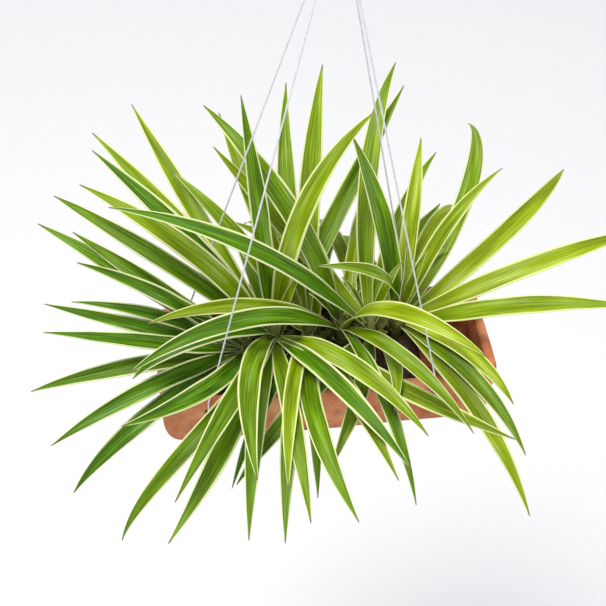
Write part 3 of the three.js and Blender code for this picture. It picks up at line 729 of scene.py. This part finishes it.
# Six plants in a row, in degrees and millimetres. A fan spreads its leaves evenly from one
# bounding leaf to the other: a measure is one value, or the first and last leaf's.
PLANTS = [
    Plant("spider_plant_1", (-68, -1), 11, [
        Fan(4, (164, 180), (42, 50), (240, 190), (5, 40), -5, (19, 14), -4),
        Fan(5, (-138, -168), (18, 34), (240, 205), (70, 15), -20, (19, 15), -8),
        Fan(2, (-94, -104), (16, 30), 255, (50, 20), -40, (22, 19), 0),
    ]),
    Plant("spider_plant_2", (-40, 6), 22, [
        Fan(4, (174, 138), (64, 46), (265, 280), (65, 40), -30, (21, 18), 4),
        Fan(2, (110, 62), (76, 84), 265, (20, 50), (0, -40), (18, 21), 4),
        Fan(1, 54, 34, 305, 25, 0, 20, -8),
        Fan(4, (-60, -104), (42, 24), (225, 255), (75, 50), 10, (20, 18), 2),
        Fan(3, (-112, -122), 26, (290, 235), (85, 50), (-60, 20), (17, 22), -4),
        Fan(2, (-166, -147), 56, (285, 180), (55, 100), -25, 19, 6),
    ]),
    Plant("spider_plant_3", (-5, 7), 33, [
        Fan(4, (150, 87), (60, 46), (220, 270), (55, 0), -20, (17, 22), 0),
        Fan(3, (-60, -93), (16, 30), (245, 200), (20, 75), (28, 0), (18, 15), 0),
        Fan(4, (-99, -117), (8, 28), (270, 200), (20, 60), 18, (20, 13), 2),
    ]),
    Plant("spider_plant_4", (30, 10), 44, [
        Fan(1, 151, 82, 285, 80, -35, 22, -4),
        Fan(1, 46, 12, 200, 20, 10, 22, 8),
        Fan(3, (-64, -78), (68, 24), (225, 225), (88, 75), (30, 0), (19, 14), 4),
        Fan(2, (-166, -152), 48, (220, 265), 82, -15, (16, 19), 0),
    ]),
    Plant("spider_plant_5", (59, 10), 55, [
        Fan(3, (184, 136), (52, 40), (320, 170), (45, 20), (-5, 10), 19, 0),
        Fan(3, (88, 42), (46, 42), (290, 110), (40, 30), -25, (20, 12), 2),
        Fan(3, (-75, -132), (38, 18), (140, 220), (50, 60), -25, (16, 20), -8),
    ]),
    Plant("spider_plant_6", (89, 16), 66, [
        Fan(3, (116, 34), (82, 68), (205, 190), 55, -5, (20, 15), 0),
        Fan(4, (36, -29), (36, 38), (315, 250), (70, 15), (55, 5), (19, 20), -4),
        Fan(3, (-54, -66), (32, 8), (160, 245), (90, 60), 0, (16, 19), -2),
        Fan(1, -129, 84, 175, 85, -55, 15, 8),
    ]),
]
SHARED_FANS = [
    Fan(2, (74, 106), 34, 205, 90, 0, 16, -2),
    Fan(2, (20, 200), 77, 78, 22, 0, 9, 14),
]


# Every leaf is then bent clear of the other plants: it strays from its place by seeded
# draws that reach further with each attempt, as the frame's own leaves do.
STRAY = Leaf(14, 16, 12, 26, 24, 1, 10)
FIRST_STRAY = 0.3                 # share of STRAY that the first attempt reaches
STRAY_STEP = 0.02                 # added with every attempt
ATTEMPTS = 120
PLANT_SEEDS = 1000                # from one plant's seeds to the next
NEXT_DRAW = 977                   # from one attempt's seed to the next
DRAW_FACTOR = 1664525             # each draw follows from the last by these three
DRAW_ADDED = 1013904223
DRAW_RANGE = 2 ** 32
LEAF_STATIONS = (0.46, 0.65, 0.84, 1)
FOUND_WITHIN = 0.7 * MM           # a kept leaf's middle passes its solid's corners this closely
STATIONS_FOUND = 3                # at this many of the stations or more


def wanted_leaves(plant):
    """The leaves that a plant's fans ask for, before any is bent clear."""
    leaves = []
    for fan in plant.fans + SHARED_FANS:
        for i in range(fan.leaves):
            t = i / (fan.leaves - 1) if fan.leaves > 1 else 0
            leaves.append(Leaf(*(lerp(*span, t) if isinstance(span, tuple) else span
                                 for span in fan[1:])))
    return leaves


def strayed_leaf(leaf, seed, attempt):
    """One attempt at a leaf, drawn as the frame draws it."""
    state = seed + NEXT_DRAW * attempt
    reach = FIRST_STRAY + STRAY_STEP * attempt
    values = []
    for value, stray in zip(leaf, STRAY):
        state = (state * DRAW_FACTOR + DRAW_ADDED) % DRAW_RANGE
        values.append(value + stray * reach * (2 * state / DRAW_RANGE - 1))
    return Leaf(*values)


def corner_finder(node):
    """The corners of one of the frame's solids, ready to be looked up by place."""
    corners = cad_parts[node].data.vertices
    tree = kdtree.KDTree(len(corners))
    for corner in corners:
        tree.insert(corner.co, corner.index)
    tree.balance()
    return tree


def grown_leaves(plant):
    """For every leaf, the attempt that the frame's solid kept. One that found no room is None."""
    tree = corner_finder(plant.name)
    grown = []
    for number, wanted in enumerate(wanted_leaves(plant)):
        kept = None
        for attempt in range(ATTEMPTS):
            leaf = strayed_leaf(wanted, PLANT_SEEDS * plant.seed + number, attempt)
            line = leaf_line(plant.crown, leaf)
            gaps = [tree.find(at_station(line, s))[2] for s in LEAF_STATIONS]
            if sum(gap < FOUND_WITHIN for gap in gaps) >= STATIONS_FOUND:
                kept = leaf
                break
        grown.append(kept)
    return grown


def strap_width(s):
    """Share of the full width along a leaf: clasping foot, strap, long fine point."""
    foot_share, widest_from = 0.5, 0.34
    point_from, tip_share, point_curve = 0.55, 0.03, 1.6
    foot = lerp(foot_share, 1, smooth(s, 0, widest_from))
    run_out = max(0, (s - point_from) / (1 - point_from))
    return foot * (1 - (1 - tip_share) * run_out ** point_curve)


def leaf_line(crown, leaf):
    """Points and headings along a leaf's middle, at STEPS + 1 stations."""
    turn = math.radians(leaf.heading)
    point = Vector((crown[0] * MM + LEAF_FOOT_R * math.cos(turn),
                    crown[1] * MM + LEAF_FOOT_R * math.sin(turn), CROWN_Z + leaf.foot * MM))
    points = [point]
    step = leaf.length * MM / STEPS
    for i in range(STEPS):
        points.append(points[-1] + leaf_tangent(leaf, (i + 0.5) / STEPS) * step)
    return points


def at_station(line, s):
    """Place at a share s of the way along a leaf's line."""
    i = min(int(s * STEPS), STEPS - 1)
    return line[i].lerp(line[i + 1], s * STEPS - i)


def leaf_tangent(leaf, s):
    up = math.radians(leaf.rise - leaf.droop * s ** BEND)
    turn = math.radians(leaf.heading + leaf.sweep * s)
    return Vector((math.cos(up) * math.cos(turn), math.cos(up) * math.sin(turn), math.sin(up)))


def add_leaf(bm, layers, crown, leaf, draw, tone, number):
    """Bends a flat grid into one channelled, slightly rippled and twisted leaf."""
    uv_layer, tone_layer, id_layer = layers
    grid = bmesh.ops.create_grid(bm, x_segments=LEAF_ACROSS, y_segments=LEAF_ALONG, size=1)["verts"]
    for face in {f for v in grid for f in v.link_faces}:
        for loop in face.loops:
            loop[uv_layer].uv = ((loop.vert.co.x + 1) / 2, (loop.vert.co.y + 1) / 2)
    line = leaf_line(crown, leaf)
    twist = math.radians(draw.uniform(-TWIST, TWIST))
    ripple = draw.uniform(*RIPPLE)
    waves = draw.uniform(*WAVES)
    phase = draw.uniform(0, FULL_WAVE)
    for vert in grid:
        across, s = vert.co.x, (vert.co.y + 1) / 2
        point = at_station(line, s)
        along = leaf_tangent(leaf, s)
        turn = math.radians(leaf.heading + leaf.sweep * s)
        side = Vector((math.sin(turn), -math.cos(turn), 0))
        roll = math.radians(ROLL) * math.cos(turn) * smooth(s, 0, ROLLED_BY)
        side.rotate(Matrix.Rotation(roll + twist * s ** 2, 3, along))
        face_out = side.cross(along)
        half = max(0.5 * leaf.width * MM * strap_width(s), TIP_HALF)
        # the channel is about twice as deep where the foot clasps its neighbours
        fold = CHANNEL * (1 + 1.1 * (1 - smooth(s, 0, 0.22)))
        dip = 2 * half * fold * (abs(across) ** 1.25)
        # the margins ripple, a little out of step, and run smooth at the foot and the tip
        wave = ripple * math.sin(phase + waves * FULL_WAVE * s + 1.3 * across) * across ** 2
        wave *= smooth(s, 0.08, 0.3) * (1 - smooth(s, 0.8, 1))
        if s == 0:
            point = point - along * TUCK
        vert.co = point + side * (across * half) + face_out * (dip + wave)
        vert[tone_layer] = tone
        vert[id_layer] = number


PAINTED_SUN_MIDDLE = 0.33                # painted sunlight of a leaf that comes straight forward from the middle
PAINTED_SUN_BY_PLACE = 0.24              # painted sunlight added at the trough's right end
PAINTED_SUN_BY_HEADING = 0.14            # painted sunlight added to a leaf that heads right
TONE_SPREAD = 0.32                # either way, from leaf to leaf


def sunlit(plant, leaf):
    """How much painted sunlight a leaf's colour gets, 0 to 1: painted as if the light came from the
    right and fell on the plants there and on the leaves that lean that way."""
    turn = math.radians(leaf.heading)
    across = (plant.crown[0] * MM - TROUGH_X) / (0.5 * TROUGH_L)
    return PAINTED_SUN_MIDDLE + PAINTED_SUN_BY_PLACE * across + PAINTED_SUN_BY_HEADING * math.cos(turn)


def leaf_layers(bm):
    """The UV map and the two vertex attributes that the leaf material reads."""
    return (bm.loops.layers.uv.new("UVMap"), bm.verts.layers.float.new("leaf_light_and_tone"),
            bm.verts.layers.float.new("leaf_id"))


def thicken(piece, thickness):
    """Gives the sheets of a piece their thickness, half to each side."""
    skin = piece.modifiers.new("blade", "SOLIDIFY")
    skin.thickness = thickness
    skin.offset = 0
    apply_modifiers(piece)


def build_plant(plant, green):
    """All the leaves of one plant, each with its own tone and streaks."""
    draw = random.Random(plant.seed)
    bm = bmesh.new()
    layers = leaf_layers(bm)
    for number, leaf in enumerate(grown_leaves(plant)):
        if leaf:
            # painted sunlight by place and heading, plus a random difference from leaf to leaf
            tone = sunlit(plant, leaf) + draw.uniform(-TONE_SPREAD, TONE_SPREAD)
            streaks = number + 0.1 * plant.crown[0]
            add_leaf(bm, layers, plant.crown, leaf, draw, min(max(tone, 0), 1), streaks)
    piece = mesh_piece(plant.name.replace("spider_plant", "leaves"), bm, green)
    thicken(piece, LEAF_T)
    piece.data.shade_smooth()
    in_place(piece, "leaf", plant.name)


SHEATH_SEED = 5
SHEATHS = 9                       # round each crown


def build_sheaths(paper):
    """A short core and dry outer leaf bases round every crown."""
    bm = bmesh.new()
    layers = leaf_layers(bm)
    draw = random.Random(SHEATH_SEED)
    for plant in PLANTS:
        x, y = plant.crown
        place = Matrix.Translation((x * MM, y * MM, CROWN_Z - 4 * MM))
        bmesh.ops.create_cone(bm, cap_ends=True, segments=24, radius1=8 * MM, radius2=4 * MM,
                              depth=44 * MM, matrix=place)
        for i in range(SHEATHS):
            sheath = Leaf(heading=i * 360 // SHEATHS + draw.randint(-12, 12),
                          rise=draw.randint(66, 80), length=draw.randint(24, 40),
                          droop=draw.randint(10, 40), sweep=0,
                          width=draw.randint(8, 12), foot=draw.randint(-26, -18))
            add_leaf(bm, layers, plant.crown, sheath, draw, tone=0, number=i)
    piece = mesh_piece("leaf_sheaths", bm, paper)
    thicken(piece, SHEATH_T)
    in_place(piece, "leaf")


# ---- hook and sleeve ------------------------------------------------------
def build_hook(steel):
    """Bent galvanised wire: a straight shank and a crook."""
    middle_z = -(CROOK_R - HOOK_WIRE / 2)
    crook_from, crook_to, crook_steps = 232, -35, 12
    keys = [(0, 0, sleeve_high.z - 8 * MM), (0, 0, -38 * MM), (-1 * MM, 0, -32 * MM)]
    for step in range(crook_steps + 1):
        angle = math.radians(lerp(crook_from, crook_to, step / crook_steps))
        keys.append((CROOK_R * math.cos(angle), 0, middle_z + CROOK_R * math.sin(angle)))
    route = [Vector(row) for row in eased(keys, 5)]
    hook = curve_piece("hook_wire", route, HOOK_WIRE, steel)
    in_place(hook, "steel", "ceiling_hook")


def build_sleeve(steel):
    """A short tube pressed flat in two bands round the hangers."""
    bm = bmesh.new()
    around = 48
    ring = bmesh.ops.create_circle(bm, segments=around, radius=1)["verts"]
    first = list(ring)
    height = sleeve_high.z - sleeve_low.z
    steps = 40
    rounding = 1.2 * MM
    bands, band_half = (0.3, 0.7), 0.07
    for step in range(steps + 1):
        t = step / steps
        if step:
            ring = grow_ring(bm, ring)
        edge = min(t, 1 - t) * height / rounding
        radius = SLEEVE_D / 2 * (0.86 + 0.14 * min(edge, 1) ** 0.5)
        bite = sum(math.exp(-(((t - band) / band_half) ** 2)) for band in bands)
        for i, vert in enumerate(ring):
            turn = 2 * math.pi * i / around
            vert.co = Vector((radius * (1 - 0.04 * bite) * math.cos(turn),
                              radius * (1 - 0.16 * bite) * math.sin(turn),
                              sleeve_high.z - t * height))
    bm.faces.new(first)
    bm.faces.new(ring)
    bmesh.ops.recalc_face_normals(bm, faces=bm.faces)
    in_place(mesh_piece("pressed_sleeve", bm, steel), "steel", "crimp_sleeve")


# ---- light and backdrop ---------------------------------------------------
FLOOR_DROP = 0.9                  # from the rim down to the backdrop


def add_area_light(name, place, target, size, power, colour):
    """A round soft light turned to its target, with its power in watts."""
    data = bpy.data.lights.new(name, "AREA")
    data.shape = "DISK"
    data.size = size
    data.energy = power
    data.color = srgb(colour)[:3]
    light = bpy.data.objects.new(name, data)
    away = (Vector(place) - Vector(target)).normalized()
    light.matrix_world = Matrix.Translation(place) @ away.to_track_quat("Z", "Y").to_matrix().to_4x4()
    bpy.context.scene.collection.objects.link(light)


def add_stage():
    """Paper under the planter, even daylight, a warm key from above and a cool fill in front."""
    bm = bmesh.new()
    bmesh.ops.create_grid(bm, x_segments=2, y_segments=2, size=8)
    bmesh.ops.translate(bm, vec=(0, 0, RIM_Z - FLOOR_DROP), verts=bm.verts)
    floor = mesh_piece("floor", bm, studio_paper())
    world = bpy.data.worlds.new("studio")
    world.use_nodes = True
    sky = world.node_tree.nodes["Background"].inputs
    sky["Color"].default_value = srgb("#f4f5f9")
    sky["Strength"].default_value = 0.74
    bpy.context.scene.world = world
    middle = (0, 0, RIM_Z + 0.05)
    add_area_light("key", (-0.7, -0.2, RIM_Z + 2.4), middle, size=1.2, power=56, colour="#fffaf2")
    add_area_light("fill", (1.4, -1.6, RIM_Z + 1.5), middle, size=1.6, power=11, colour="#f2f4ff")
    bpy.context.scene.view_settings.view_transform = "Standard"


add_camera()
wire_steel = galvanised_steel("galvanised_wire")
for hanger in HANGERS:
    route = hanger_route(hanger)
    cord = curve_piece(f"wire_{hanger.name}", route, HANGER_D, wire_steel)
    in_place(cord, "wire", f"hanger_wire_{hanger.name}")

clay = fired_terracotta()
build_trough(clay)
build_feet(clay)
build_soil(moist_compost())
leaf_green = variegated_leaf()
for plant in PLANTS:
    build_plant(plant, leaf_green)
build_sheaths(papery_sheath())
hook_steel = galvanised_steel("galvanised_hook", 0.36)
build_hook(hook_steel)
build_sleeve(hook_steel)
add_stage()
